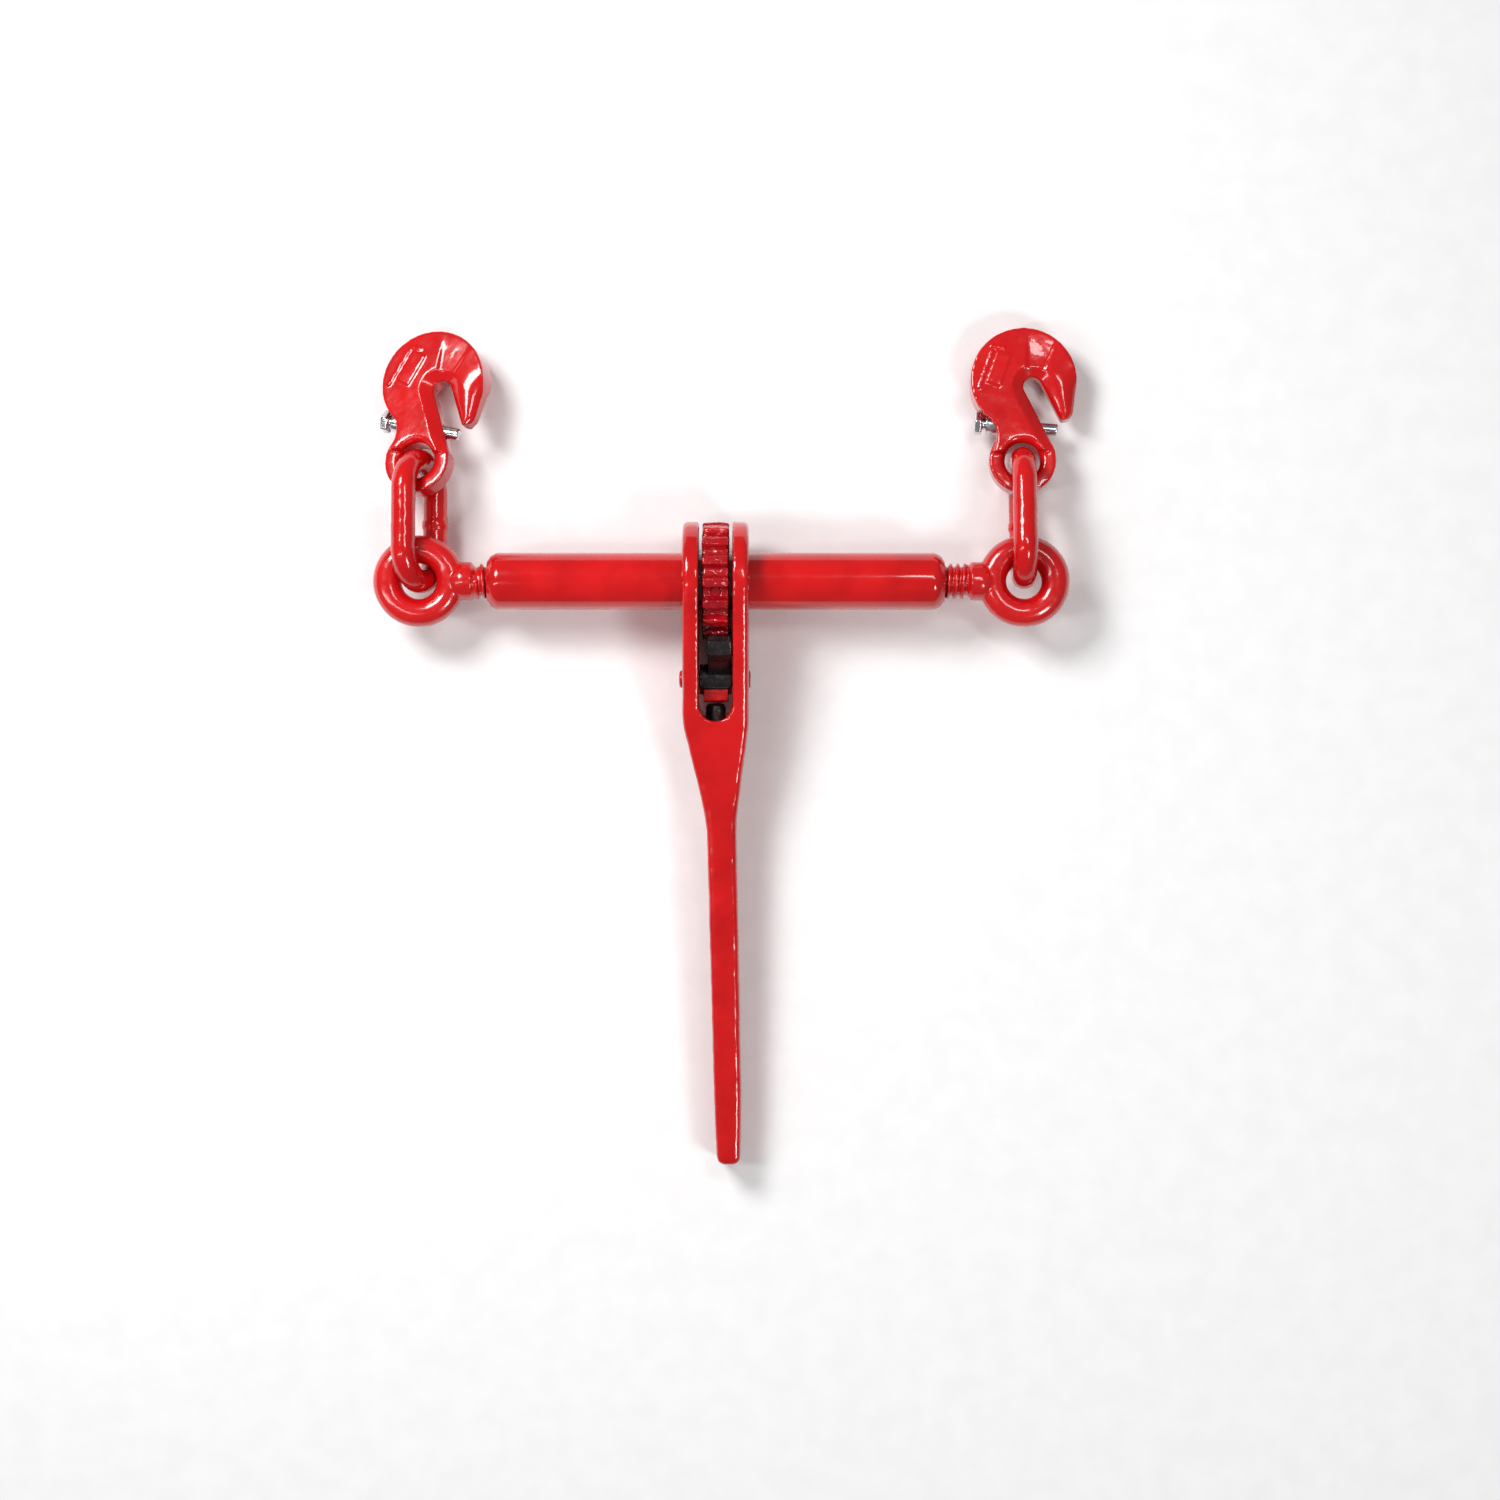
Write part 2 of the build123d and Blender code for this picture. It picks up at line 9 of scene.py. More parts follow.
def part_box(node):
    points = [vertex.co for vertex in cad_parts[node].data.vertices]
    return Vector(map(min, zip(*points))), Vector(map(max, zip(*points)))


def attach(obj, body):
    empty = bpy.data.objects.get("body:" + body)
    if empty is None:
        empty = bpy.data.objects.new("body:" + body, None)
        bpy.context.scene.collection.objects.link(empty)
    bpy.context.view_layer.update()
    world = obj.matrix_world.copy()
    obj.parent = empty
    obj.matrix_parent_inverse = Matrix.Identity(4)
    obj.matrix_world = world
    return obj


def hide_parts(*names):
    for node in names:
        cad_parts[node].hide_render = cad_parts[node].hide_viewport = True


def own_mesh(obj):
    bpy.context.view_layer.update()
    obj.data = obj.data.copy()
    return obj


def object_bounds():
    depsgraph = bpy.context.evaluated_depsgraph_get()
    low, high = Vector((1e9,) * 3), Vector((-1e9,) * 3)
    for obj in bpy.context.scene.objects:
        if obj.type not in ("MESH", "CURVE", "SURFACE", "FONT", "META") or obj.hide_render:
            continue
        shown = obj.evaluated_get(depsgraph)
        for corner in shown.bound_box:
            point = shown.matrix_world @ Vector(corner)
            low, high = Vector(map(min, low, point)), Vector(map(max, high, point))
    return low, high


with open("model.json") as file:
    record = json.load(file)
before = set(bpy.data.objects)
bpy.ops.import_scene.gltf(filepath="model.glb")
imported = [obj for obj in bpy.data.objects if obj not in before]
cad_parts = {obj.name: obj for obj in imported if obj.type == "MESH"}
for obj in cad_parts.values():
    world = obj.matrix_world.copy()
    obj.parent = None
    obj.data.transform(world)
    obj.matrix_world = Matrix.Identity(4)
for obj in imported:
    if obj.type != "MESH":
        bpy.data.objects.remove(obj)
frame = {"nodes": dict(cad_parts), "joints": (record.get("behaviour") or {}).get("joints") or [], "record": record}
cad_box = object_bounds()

# A ratchet load binder lying on a pale floor, seen from straight above.
# Lengths are in metres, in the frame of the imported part.

NODES = frame["nodes"]
BODIES = frame["record"]["behaviour"]["bodies"]
BODY_OF = {node: body for body, members in BODIES.items() for node in members}
JOINTS = {joint["name"]: joint for joint in frame["joints"]}
SIDES = ("left", "right")

VIEW_WIDTH = 0.84  # what the camera sees across, at the barrel's height
CAMERA_HEIGHT = 2.2
SENSOR = 36.0
VIEW_CENTRE = (0.01915, -0.0945)

ROUNDING_STEPS = 26  # of smoothing where a forging is well rounded
SLOT_HALF_WIDTH = 0.00925  # of the slot in the fork
SLOT_ROUND_END = 0.0682  # from the barrel's axis to the centre of the slot's round end

# The hook, across and along it from the centre of its eye.
THROAT_SLANT = math.radians(26.6)  # of the throat from the hook's long axis
PIN_SLANT = math.radians(4.8)  # of the safety pin from the line across the hook
THROAT_TOP = (0.0060, 0.0425)  # the centre of the throat's round end
THROAT_HALF_WIDTH = 0.00525
FLANK_START = 0.0046  # how far from the middle of the hook's thickness the throat's slanted flank starts
FLANK_RISE, FLANK_WIDTH = 0.0048, 0.007
HEAD_FACE = 0.0090  # from the middle of the hook's thickness to the face of its head
HEAD_MIDDLE = 0.0456  # along the hook
CAD_SEAT_LEVEL = 0.00645  # just under the floor of the seat cut in the CAD solid
CAD_SEAT_START, CAD_SEAT_END = 0.0493, 0.0672
DISH_DEPTH = 0.0010
NOSE_TAPER = 0.38  # how much thinner the nose is at its tip
NOSE_CROWN = 0.8  # how round the nose is across, from 0 to 1

# The barrel's section.
SWAGE = 0.0043  # the length of each end that is drawn in
LIP = 0.0007  # the radius of the rolled lip
MOUTH, MOUTH_BORE, BORE = 0.0118, 0.0103, 0.0114  # radii
BORE_START = 0.030  # from each end to the wider bore
TURNED_STEPS = 144

PAINT_LOW = (0.50, 0.0034, 0.0050)  # the paint's colour ranges from this
PAINT_HIGH = (0.63, 0.0062, 0.0075)  # to this
THUMB_BAR = 0.0070  # the length of the pawl's red thumb bar
PAINTED_TURN = 0.0008  # how far from the barrel's mouth the screw's paint starts


# ---------------------------------------------------------------- materials
def new_material(name):
    """An empty node material with a Principled shader, and its node tree."""
    material = bpy.data.materials.new(name)
    material.use_nodes = True
    tree = material.node_tree
    tree.nodes.clear()
    shader = tree.nodes.new("ShaderNodeBsdfPrincipled")
    output = tree.nodes.new("ShaderNodeOutputMaterial")
    tree.links.new(shader.outputs["BSDF"], output.inputs["Surface"])
    return material, tree, shader


def noise(tree, scale, detail=3.0, roughness=0.5):
    """A noise texture that lies in the object's own coordinates, scale in features a metre."""
    place = tree.nodes.new("ShaderNodeTexCoord")
    texture = tree.nodes.new("ShaderNodeTexNoise")
    texture.inputs["Scale"].default_value = scale
    texture.inputs["Detail"].default_value = detail
    texture.inputs["Roughness"].default_value = roughness
    tree.links.new(place.outputs["Object"], texture.inputs["Vector"])
    return texture.outputs["Fac"]


def ramp(tree, value, low, high, start=0.35, end=0.65):
    """value turned into a colour between low and high."""
    node = tree.nodes.new("ShaderNodeValToRGB")
    node.color_ramp.elements[0].position = start
    node.color_ramp.elements[0].color = (*low, 1)
    node.color_ramp.elements[1].position = end
    node.color_ramp.elements[1].color = (*high, 1)
    tree.links.new(value, node.inputs["Fac"])
    return node.outputs["Color"]


def spread(tree, value, low, high):
    """value stretched from its usual middle range to low and high."""
    node = tree.nodes.new("ShaderNodeMapRange")
    node.inputs["From Min"].default_value = 0.3
    node.inputs["From Max"].default_value = 0.7
    node.inputs["To Min"].default_value = low
    node.inputs["To Max"].default_value = high
    tree.links.new(value, node.inputs["Value"])
    return node.outputs["Result"]


def bump(tree, height, distance, strength, under=None):
    """A bump node, over another one if under is given."""
    node = tree.nodes.new("ShaderNodeBump")
    node.inputs["Distance"].default_value = distance
    node.inputs["Strength"].default_value = strength
    tree.links.new(height, node.inputs["Height"])
    if under is not None:
        tree.links.new(under, node.inputs["Normal"])
    return node.outputs["Normal"]


def blended(tree, share, low, high):
    """A mix of two colours, each a link, by a share that is a link."""
    node = tree.nodes.new("ShaderNodeMix")
    node.data_type = "RGBA"
    tree.links.new(share, node.inputs["Factor"])
    tree.links.new(low, node.inputs["A"])
    tree.links.new(high, node.inputs["B"])
    return node.outputs["Result"]


def within(tree, axis, low, high, blur):
    """1 between low and high along an axis of the object, falling to 0 over blur."""
    place = tree.nodes.new("ShaderNodeTexCoord")
    split = tree.nodes.new("ShaderNodeSeparateXYZ")
    tree.links.new(place.outputs["Object"], split.inputs["Vector"])
    shares = []
    for start, end in ((low - blur, low), (high + blur, high)):
        node = tree.nodes.new("ShaderNodeMapRange")
        node.inputs["From Min"].default_value = start
        node.inputs["From Max"].default_value = end
        tree.links.new(split.outputs[axis], node.inputs["Value"])
        shares.append(node.outputs["Result"])
    both = tree.nodes.new("ShaderNodeMath")
    both.operation = "MULTIPLY"
    tree.links.new(shares[0], both.inputs[0])
    tree.links.new(shares[1], both.inputs[1])
    return both.outputs["Value"]


def in_slot(tree):
    """1 inside the fork's round-ended slot and on its walls, 0 outside: where the slot's painted shade goes."""
    place = tree.nodes.new("ShaderNodeTexCoord")
    split = tree.nodes.new("ShaderNodeSeparateXYZ")
    tree.links.new(place.outputs["Object"], split.inputs["Vector"])
    past_end = tree.nodes.new("ShaderNodeMath")
    past_end.operation = "ADD"
    past_end.inputs[1].default_value = SLOT_ROUND_END
    tree.links.new(split.outputs["Y"], past_end.inputs[0])
    below = tree.nodes.new("ShaderNodeMath")
    below.operation = "MINIMUM"
    below.inputs[1].default_value = 0.0
    tree.links.new(past_end.outputs["Value"], below.inputs[0])
    flat = tree.nodes.new("ShaderNodeCombineXYZ")
    tree.links.new(split.outputs["X"], flat.inputs["X"])
    tree.links.new(below.outputs["Value"], flat.inputs["Y"])
    reach = tree.nodes.new("ShaderNodeVectorMath")
    reach.operation = "LENGTH"
    tree.links.new(flat.outputs["Vector"], reach.inputs[0])
    share = tree.nodes.new("ShaderNodeMapRange")
    share.inputs["From Min"].default_value = SLOT_HALF_WIDTH + 0.0006
    share.inputs["From Max"].default_value = SLOT_HALF_WIDTH + 0.0001
    tree.links.new(reach.outputs["Value"], share.inputs["Value"])
    return share.outputs["Result"]


def red_paint(name, scale_height, painted_slot_shade=False, low=PAINT_LOW, high=PAINT_HIGH):
    """Thick glossy red enamel, ranging from low to high.

    On a forging, the scale of the steel shows through it as bumps of scale_height.
    With the slot shade on, what lies in the fork's slot is coloured near-black: painted shade for the deep, narrow
    slot.
    """
    material, tree, shader = new_material(name)
    colour = ramp(tree, noise(tree, 38, 4), low, high)
    if painted_slot_shade:
        # painted shade: the slot's walls and what lies in the slot are coloured near-black, because the deep
        # narrow slot lies in shade
        slot_shade = ramp(tree, noise(tree, 140, 4), (0.006, 0.0010, 0.0012), (0.028, 0.0016, 0.0020))
        colour = blended(tree, in_slot(tree), colour, slot_shade)
    tree.links.new(colour, shader.inputs["Base Color"])
    tree.links.new(spread(tree, noise(tree, 160, 3), 0.12, 0.22), shader.inputs["Roughness"])
    shader.inputs["Specular IOR Level"].default_value = 0.25
    shader.inputs["Coat Weight"].default_value = 0.7
    shader.inputs["Coat Roughness"].default_value = 0.05
    normal = bump(tree, noise(tree, 900, 2), 0.00012, 0.08)
    if scale_height:
        normal = bump(tree, noise(tree, 170, 5, 0.55), scale_height, 0.16, normal)
    tree.links.new(normal, shader.inputs["Normal"])
    return material


def zinc():
    """Bright zinc plate, clouded, with low bumps."""
    material, tree, shader = new_material("zinc_plate")
    colour = ramp(tree, noise(tree, 220, 4), (0.44, 0.44, 0.48), (0.82, 0.82, 0.84))
    tree.links.new(colour, shader.inputs["Base Color"])
    shader.inputs["Metallic"].default_value = 1.0
    tree.links.new(spread(tree, noise(tree, 420, 3), 0.10, 0.30), shader.inputs["Roughness"])
    normal = bump(tree, noise(tree, 700, 4), 0.0002, 0.25)
    tree.links.new(normal, shader.inputs["Normal"])
    return material


def spring_wire():
    """Drawn spring steel with a thin film of oil."""
    material, tree, shader = new_material("spring_wire")
    colour = ramp(tree, noise(tree, 900, 3), (0.30, 0.29, 0.28), (0.55, 0.54, 0.52))
    tree.links.new(colour, shader.inputs["Base Color"])
    shader.inputs["Metallic"].default_value = 1.0
    tree.links.new(spread(tree, noise(tree, 1500, 2), 0.22, 0.42), shader.inputs["Roughness"])
    return material


def dark_steel():
    """Blackened steel, rough where the oxide is thick and brighter where it has rubbed."""
    material, tree, shader = new_material("black_oxide")
    colour = ramp(tree, noise(tree, 260, 5, 0.6), (0.012, 0.010, 0.010), (0.07, 0.06, 0.058))
    tree.links.new(colour, shader.inputs["Base Color"])
    shader.inputs["Metallic"].default_value = 0.7
    tree.links.new(spread(tree, noise(tree, 500, 4), 0.22, 0.5), shader.inputs["Roughness"])
    normal = bump(tree, noise(tree, 420, 4), 0.0004, 0.4)
    tree.links.new(normal, shader.inputs["Normal"])
    return material


def pawl_finish():
    """The pawl is blackened, and its thumb bar is painted red like the handle."""
    material, tree, shader = new_material("pawl_finish")
    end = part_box("pawl")[0].y
    share = within(tree, "Y", end - 0.01, end + THUMB_BAR, 0.0006)
    black = ramp(tree, noise(tree, 240, 5, 0.6), (0.007, 0.005, 0.006), (0.022, 0.016, 0.018))
    red = ramp(tree, noise(tree, 120, 4), (0.42, 0.004, 0.006), (0.66, 0.007, 0.009))
    tree.links.new(blended(tree, share, black, red), shader.inputs["Base Color"])
    tree.links.new(spread(tree, noise(tree, 420, 4), 0.14, 0.36), shader.inputs["Roughness"])
    shader.inputs["Specular IOR Level"].default_value = 0.4
    shader.inputs["Coat Weight"].default_value = 0.3
    shader.inputs["Coat Roughness"].default_value = 0.08
    normal = bump(tree, noise(tree, 330, 3), 0.0003, 0.25)
    tree.links.new(normal, shader.inputs["Normal"])
    return material


def screw_finish(side):
    """The eye and neck are painted; the thread that runs inside the barrel is bare, dark with grease."""
    material, tree, shader = new_material(f"screw_finish_{side}")
    low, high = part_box(f"screw_eye_{side}")
    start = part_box("barrel")[1].x + PAINTED_TURN
    if side == "left":
        share = within(tree, "X", low.x - 0.01, -start, 0.0016)
    else:
        share = within(tree, "X", start, high.x + 0.01, 0.0016)
    red = ramp(tree, noise(tree, 38, 4), PAINT_LOW, PAINT_HIGH)
    grease = ramp(tree, noise(tree, 300, 4), (0.018, 0.010, 0.009), (0.11, 0.055, 0.048))
    tree.links.new(blended(tree, share, grease, red), shader.inputs["Base Color"])
    tree.links.new(spread(tree, noise(tree, 260, 3), 0.12, 0.26), shader.inputs["Roughness"])
    shader.inputs["Coat Weight"].default_value = 0.55
    shader.inputs["Coat Roughness"].default_value = 0.06
    normal = bump(tree, noise(tree, 170, 5, 0.55), 0.0008, 0.25)
    tree.links.new(normal, shader.inputs["Normal"])
    return material


def floor_finish():
    """Pale studio paper with a faint tooth."""
    material, tree, shader = new_material("studio_paper")
    colour = ramp(tree, noise(tree, 60, 3), (0.90, 0.90, 0.90), (0.93, 0.93, 0.93))
    tree.links.new(colour, shader.inputs["Base Color"])
    shader.inputs["Roughness"].default_value = 0.9
    shader.inputs["Specular IOR Level"].default_value = 0.1
    tree.links.new(bump(tree, noise(tree, 900, 2), 0.0002, 0.1), shader.inputs["Normal"])
    return material


# ---------------------------------------------------------------- pieces
def new_piece(name, mesh, material, slot, *nodes):
    """A finished mesh as a piece that stands for its CAD nodes and rides on their body."""
    piece = bpy.data.objects.new(name, mesh)
    bpy.context.scene.collection.objects.link(piece)
    mesh.materials.clear()
    mesh.materials.append(material)
    mesh.shade_smooth()
    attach(piece, BODY_OF[nodes[0]])
    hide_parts(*nodes)
    return piece


def join_meshes(target, extra):
    """Adds the faces of extra to target, a bmesh each."""
    lookup = {v: target.verts.new(v.co) for v in extra.verts}
    for face in extra.faces:
        target.faces.new([lookup[v] for v in face.verts])


def evaluated(holder):
    """The object's mesh with its modifiers applied."""
    graph = bpy.context.evaluated_depsgraph_get()
    graph.update()
    return bpy.data.meshes.new_from_object(holder.evaluated_get(graph))


def softened(node, voxel, rounds, relief, grain=0.012, additions=(), reshape=None):
    """A CAD node's shape with the soft edges and low, uneven surface of a forging.

    voxel is the mesh's fineness, rounds how far its edges are softened, relief the height of its bumps and
    grain their size. additions are closed meshes to fuse on. reshape takes a point and returns where it goes
    and how strongly it is rounded there, from 0 to 1.
    """
    shape = bmesh.new()
    shape.from_mesh(NODES[node].data)
    bmesh.ops.remove_doubles(shape, verts=shape.verts, dist=1e-6)
    for extra in additions:
        join_meshes(shape, extra)
        extra.free()
    mesh = bpy.data.meshes.new(f"{node}_shape")
    shape.to_mesh(mesh)
    shape.free()
    holder = bpy.data.objects.new(f"{node}_holder", mesh)
    bpy.context.scene.collection.objects.link(holder)
    remesh = holder.modifiers.new("remesh", "REMESH")
    remesh.mode = "VOXEL"
    remesh.voxel_size = voxel
    if reshape:
        holder.data = evaluated(holder)
        holder.modifiers.clear()
        group = holder.vertex_groups.new(name="rounding")
        for vertex in holder.data.vertices:
            vertex.co, weight = reshape(vertex.co)
            group.add([vertex.index], weight, "REPLACE")
        rounding = holder.modifiers.new("rounding", "SMOOTH")
        rounding.factor = 0.5
        rounding.iterations = ROUNDING_STEPS
        rounding.vertex_group = group.name
    smooth = holder.modifiers.new("smooth", "SMOOTH")
    smooth.factor = 0.5
    smooth.iterations = rounds
    if relief:
        clouds = bpy.data.textures.new(f"{node}_relief", "CLOUDS")
        clouds.noise_scale = grain
        clouds.noise_depth = 3
        displace = holder.modifiers.new("relief", "DISPLACE")
        displace.texture = clouds
        displace.texture_coords = "GLOBAL"
        displace.strength = relief
        displace.mid_level = 0.62
    made = evaluated(holder)
    bpy.data.objects.remove(holder)
    return made


def lathe(profile, turns):
    """A closed mesh turned about X from a profile of (x, radius) points that itself closes on itself."""
    shape = bmesh.new()
    rings = []
    for i in range(turns):
        angle = 2 * math.pi * i / turns
        rings.append([shape.verts.new((x, r * math.cos(angle), r * math.sin(angle))) for x, r in profile])
    count = len(profile)
    for i in range(turns):
        here, there = rings[i], rings[(i + 1) % turns]
        for j in range(count):
            k = (j + 1) % count
            shape.faces.new((here[j], here[k], there[k], there[j]))
    bmesh.ops.recalc_face_normals(shape, faces=shape.faces)
    return shape


def arc(centre, radius, start, end, steps):
    """Points along an arc in the profile's plane, angles in degrees."""
    angles = [math.radians(start + (end - start) * i / steps) for i in range(steps + 1)]
    return [(centre[0] + radius * math.cos(a), centre[1] + radius * math.sin(a)) for a in angles]


def barrel_mesh():
    """The turned tube: long plain walls, swaged ends with a rolled lip, and a relieved bore."""
    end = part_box("barrel")[1]
    half, outer = end.x, end.z
    shoulder = half - SWAGE
    right = [(0.0, outer)]
    right += [(shoulder - 0.0026 - ring * 0.02, outer) for ring in range(5, -1, -1)]
    right += [(shoulder - 0.0012, outer - 0.0001), (shoulder, outer - 0.0006)]
    right += [(half - SWAGE * 0.5, (outer + MOUTH) / 2 + 0.0004)]
    right += arc((half - LIP, MOUTH - LIP), LIP, 70, 0, 4)
    right += [(half, MOUTH_BORE + 0.0002), (half - 0.0003, MOUTH_BORE)]
    right += [(half - BORE_START + 0.001, MOUTH_BORE), (half - BORE_START, BORE), (0.0, BORE)]
    left = [(-x, r) for x, r in reversed(right) if x > 0]
    shape = lathe(right + left, TURNED_STEPS)
    mesh = bpy.data.meshes.new("barrel_tube")
    shape.to_mesh(mesh)
    shape.free()
    return mesh


def hook_axes(side):
    """The hook's own axes: x across its head and y along it, from the throat's and the pin's directions."""
    mounts = {m["name"]: m for m in frame["record"]["mounts"]}
    mouth = Vector(mounts[f"{side}_hook_throat"]["axis"])
    pin = -Vector(JOINTS[f"{side}_pin_pull"]["axis"])
    shared = math.cos(THROAT_SLANT + PIN_SLANT)
    x = (pin * math.cos(THROAT_SLANT) - mouth * math.sin(PIN_SLANT)) / shared
    y = (pin * math.sin(THROAT_SLANT) - mouth * math.cos(PIN_SLANT)) / shared
    return x.normalized(), y.normalized(), x.cross(y).normalized()


def placed_box(origin, axes, centre, size, turn=0.0):
    """A closed box as a bmesh, given in a part's own axes."""
    x, y, z = axes
    rotation = Matrix((x, y, z)).transposed().to_4x4()
    spot = origin + x * centre[0] + y * centre[1] + z * centre[2]
    shape = bmesh.new()
    bmesh.ops.create_cube(shape, size=1.0)
    bmesh.ops.transform(shape, matrix=Matrix.Diagonal((*size, 1)), verts=shape.verts)
    spun = Matrix.Rotation(math.radians(turn), 4, "Z")
    bmesh.ops.transform(shape, matrix=Matrix.Translation(spot) @ rotation @ spun, verts=shape.verts)
    return shape


def hook_pads(side):
    """The blank raised panel on the back of the hook's head and the two ridges beside it, on both faces."""
    axes = hook_axes(side)
    origin = Vector(JOINTS[f"{side}_hook_swing"]["pos_m"])
    pads = []
    for level in (HEAD_FACE - 0.0004, 0.0004 - HEAD_FACE):
        for across, along, size, turn in (
            (-0.0130, 0.0520, (0.0075, 0.0190, 0.0019), -20),
            (-0.0205, 0.0515, (0.0011, 0.0230, 0.0020), -20),
            (-0.0135, 0.0640, (0.0080, 0.0011, 0.0020), -10),
        ):
            pads.append(placed_box(origin, axes, (across, along, level), size, turn))
    return pads


def step(value, start, end):
    """0 before start and 1 past end, smooth between; end may be the lower one."""
    share = min(1.0, max(0.0, (value - start) / (end - start)))
    return share * share * (3 - 2 * share)


def undished(across, along):
    """How high the hook's face would lie without the seat cut in the CAD solid: on its face or its flank."""
    right, up = across - THROAT_TOP[0], along - THROAT_TOP[1]
    lean, rise = math.sin(THROAT_SLANT), math.cos(THROAT_SLANT)
    down = max(0.0, right * lean - up * rise)
    gap = math.hypot(right - down * lean, up + down * rise)
    flank = FLANK_START + FLANK_RISE * max(0.0, gap - THROAT_HALF_WIDTH) / FLANK_WIDTH
    return min(HEAD_FACE, flank)


def in_cad_seat(across, along):
    """Whether a point lies in the seat cut in the CAD solid, or within a voxel of it."""
    left = 0.0089 - (along - 0.050) * 0.17
    right = 0.0157 + (along - 0.050) * 0.424
    return CAD_SEAT_START < along < CAD_SEAT_END and left < across < right


def seat_limit(across, along):
    """The shallow dish for the next link, with a slanted step on its right. It spares the raised panel."""
    edge = 0.0128 + (along - 0.052) * 0.42
    within_edge = step(across, 0.0018, 0.0036) * step(across, edge + 0.0004, edge - 0.0004)
    share = within_edge * step(along, 0.074, 0.054)
    over_panel = 0.0010 * step(across, 0.000, -0.003)
    return HEAD_FACE + over_panel - DISH_DEPTH * share


def nose_limit(across, along):
    """The nose's rounded top, and how much of it applies."""
    inner = 0.01069 + (0.04485 - along) * 0.5008
    outer = 0.0287 + (along - 0.027) * (0.113 if along > 0.027 else 0.763)
    half = max(0.001, (outer - inner) / 2)
    offset = (across - inner - half) / half
    middle = THROAT_TOP[0] + (THROAT_TOP[1] - along) * math.tan(THROAT_SLANT)
    share = step(along, 0.058, 0.040) * step(across - middle, 0.001, 0.004) * step(across, 0.006, 0.012)
    crown = math.sqrt(max(0.1, 1 - NOSE_CROWN * offset * offset))
    top = HEAD_FACE * crown * (1 - NOSE_TAPER * step(along, 0.050, 0.020))
    return HEAD_FACE * (1 - share) + top * share if share else 1.0, share


def hook_reshaping(side):
    """The hook's nose becomes a rounded cone, and its seat for the next link a shallow dish."""
    x, y, z = hook_axes(side)
    origin = Vector(JOINTS[f"{side}_hook_swing"]["pos_m"])

    def reshape(point):
        offset = point - origin
        across, along, depth = offset.dot(x), offset.dot(y), offset.dot(z)
        level = abs(depth)
        if level > CAD_SEAT_LEVEL and in_cad_seat(across, along):
            level = undished(across, along)
        nose_top, nose = nose_limit(across, along)
        level = min(level, nose_top, seat_limit(across, along))
        moved = point + z * (math.copysign(level, depth) - depth)
        eye = step(along, 0.020, 0.012)
        rim = step((across**2 + (along - HEAD_MIDDLE) ** 2) ** 0.5, 0.0255, 0.0285)
        seat = step(across, 0.000, 0.004) * step(along, 0.044, 0.050)
        return moved, max(0.06, nose, eye, 0.6 * rim, 0.22 * seat)

    return reshape


def coil(node, joint, material):
    """A spring shown as its CAD node, riding on its body; it is not shortened as its joint moves."""
    piece = new_piece(f"{node}_coil", NODES[node].data.copy(), material, "spring_steel", node)
    axis = Vector(JOINTS[joint]["axis"]).normalized()
    reaches = [vertex.co.dot(axis) for vertex in piece.data.vertices]
    start, end = min(reaches), max(reaches)
    anchor = piece.data.vertices[0].co.copy()
    anchor += axis * (end - anchor.dot(axis))
    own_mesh(piece)


def repaint(material, *nodes):
    """CAD nodes that are shown as they are get a finished material."""
    for node in nodes:
        NODES[node].data.materials.clear()
        NODES[node].data.materials.append(material)


red_forged = red_paint("red_enamel_forged", 0.0006)
# painted shade: this red enamel is coloured near-black inside the fork's slot, for the shade in the deep narrow
# slot
red_with_slot_shade = red_paint("red_enamel_slot_shaded", 0.0006, painted_slot_shade=True)
red_plain = red_paint("red_enamel", 0)
red_gear = red_paint("red_enamel_gear", 0.0022, low=(0.30, 0.0022, 0.0060), high=(0.52, 0.0050, 0.0100))
bright = zinc()
black = dark_steel()
wire = spring_wire()
repaint(black, "stop_pin_left", "stop_pin_right")
repaint(red_gear, "gear_lock_pins")
repaint(bright, "pin_clip_left", "pin_clip_right")

new_piece("handle_forging", softened("handle", 0.0011, 5, 0.0006), red_with_slot_shade, "red_paint", "handle")
new_piece("barrel_tube", barrel_mesh(), red_plain, "red_paint", "barrel")
gear = softened("ratchet_gear", 0.0006, 16, 0.0013, 0.0035)
new_piece("gear_casting", gear, red_gear, "red_paint", "ratchet_gear")
pawl = softened("pawl", 0.00045, 6, 0.0004, 0.006)
new_piece("pawl_casting", pawl, pawl_finish(), "dark_steel", "pawl")
plunger = softened("plunger", 0.00045, 4, 0.0005, 0.006)
new_piece("plunger_turned", plunger, black, "dark_steel", "plunger")
coil("plunger_spring", "plunger_slide", wire)
rivet = softened("pawl_pivot_pin", 0.0005, 3, 0.0002, 0.004)
# the rivet's middle, inside the fork's slot, is coloured near-black as painted shade
new_piece("pivot_rivet", rivet, red_with_slot_shade, "red_paint", "pawl_pivot_pin")
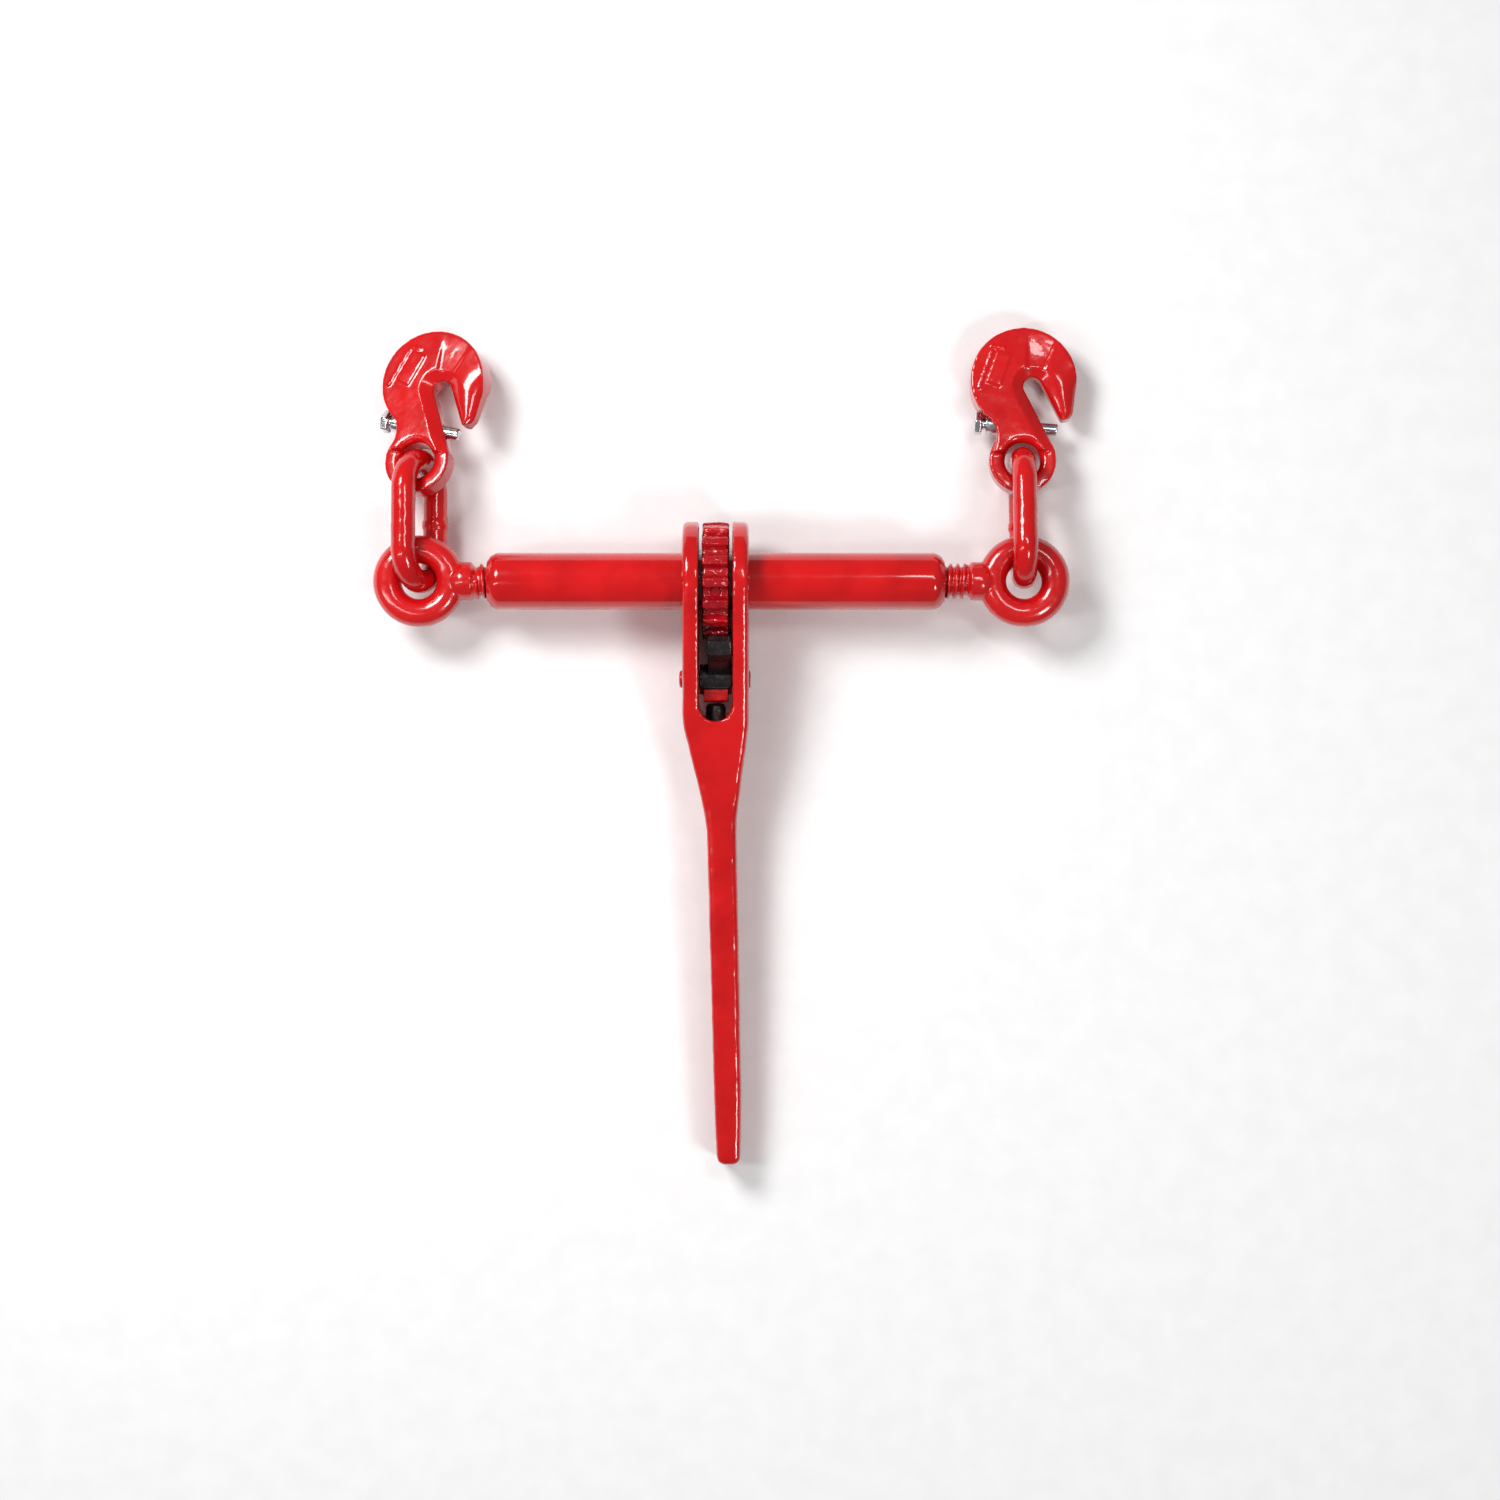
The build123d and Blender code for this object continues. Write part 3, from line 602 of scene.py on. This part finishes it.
for side in SIDES:
    screw = softened(f"screw_eye_{side}", 0.00062, 3, 0.0003)
    new_piece(f"screw_forging_{side}", screw, screw_finish(side), "red_paint", f"screw_eye_{side}")
    link = softened(f"link_{side}", 0.0007, 5, 0.0004, 0.008)
    new_piece(f"link_bar_{side}", link, red_forged, "red_paint", f"link_{side}")
    hook = softened(f"hook_{side}", 0.00062, 3, 0.0003, 0.014, hook_pads(side), hook_reshaping(side))
    new_piece(f"hook_forging_{side}", hook, red_forged, "red_paint", f"hook_{side}")
    pin = softened(f"safety_pin_{side}", 0.00035, 3, 0.0)
    new_piece(f"pin_steel_{side}", pin, bright, "zinc_steel", f"safety_pin_{side}")
    coil(f"pin_spring_{side}", f"{side}_pin_pull", wire)
    bush = softened(f"pin_bush_{side}", 0.00032, 3, 0.0)
    new_piece(f"bush_steel_{side}", bush, bright, "zinc_steel", f"pin_bush_{side}")

# ---------------------------------------------------------------- floor, lights and camera
FLOOR_REACH = 3.0
floor_mesh = bpy.data.meshes.new("floor")
corners = [(-1, -1), (1, -1), (1, 1), (-1, 1)]
floor_points = [(x * FLOOR_REACH, y * FLOOR_REACH, cad_box[0].z) for x, y in corners]
floor_mesh.from_pydata(floor_points, [], [(0, 1, 2, 3)])
floor_mesh.materials.append(floor_finish())
floor = bpy.data.objects.new("floor", floor_mesh)
bpy.context.scene.collection.objects.link(floor)


def soft_box(name, spot, aim, size, power):
    """A white rectangular studio light that faces a point."""
    data = bpy.data.lights.new(name, "AREA")
    data.shape = "RECTANGLE"
    data.size, data.size_y = size
    data.energy = power
    lamp = bpy.data.objects.new(name, data)
    lamp.location = spot
    lamp.rotation_euler = (Vector(aim) - Vector(spot)).to_track_quat("-Z", "Y").to_euler()
    bpy.context.scene.collection.objects.link(lamp)


soft_box("key", (-0.75, 0.70, 1.2), (-0.05, 0, 0), (0.55, 0.55), 20)
soft_box("fill", (0.80, -0.75, 1.3), (0, -0.1, 0), (0.35, 0.35), 7.5)
soft_box("streak", (0.40, 0.38, 1.5), (0.15, 0, 0), (0.50, 0.14), 3)
soft_box("side_strip", (-0.62, -0.20, 0.9), (0, -0.15, 0), (0.10, 0.8), 2.5)

world = bpy.data.worlds.new("studio")
world.use_nodes = True
sky = world.node_tree.nodes["Background"]
sky.inputs["Color"].default_value = (1, 1, 1, 1)
sky.inputs["Strength"].default_value = 0.19
bpy.context.scene.world = world
bpy.context.scene.view_settings.view_transform = "Standard"

camera_data = bpy.data.cameras.new("camera")
camera_data.sensor_width = SENSOR
camera_data.lens = SENSOR * CAMERA_HEIGHT / VIEW_WIDTH
camera = bpy.data.objects.new("camera", camera_data)
camera.location = (*VIEW_CENTRE, CAMERA_HEIGHT)
bpy.context.scene.collection.objects.link(camera)
bpy.context.scene.camera = camera
